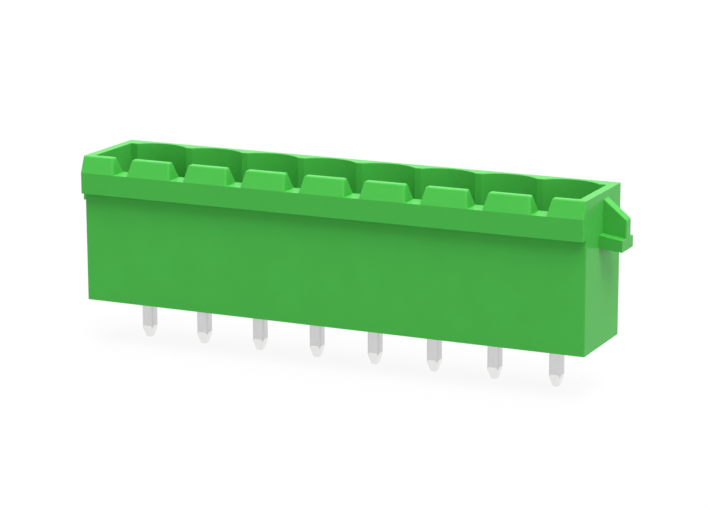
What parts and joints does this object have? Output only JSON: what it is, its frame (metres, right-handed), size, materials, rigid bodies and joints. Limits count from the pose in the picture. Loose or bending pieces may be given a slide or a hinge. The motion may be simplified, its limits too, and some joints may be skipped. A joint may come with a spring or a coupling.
{
  "type": "pcb plug connector header",
  "caption": "Upright board header that a screw terminal plug pushes into: green open-topped housing, notched front wall, row of straight solder pins.",
  "frame": {"origin": "middle of the pin row at the housing's underside, where it sits on the board", "axes": "+Z out of the board, the way the plug leaves; +X along the pin row; -Y towards the notched wall"},
  "size_m": [0.0464, 0.0081, 0.0155],
  "materials": {
    "housing_plastic": "smooth moulded green polyamide with a soft gloss",
    "tinned_pin": "bright tin plating over copper alloy"
  },
  "bodies": {
    "root": {"housing": "housing_plastic", "contact_pin_1": "tinned_pin", "contact_pin_2": "tinned_pin", "contact_pin_3": "tinned_pin", "contact_pin_4": "tinned_pin", "contact_pin_5": "tinned_pin", "contact_pin_6": "tinned_pin", "contact_pin_7": "tinned_pin", "contact_pin_8": "tinned_pin"}
  },
  "joints": []
}
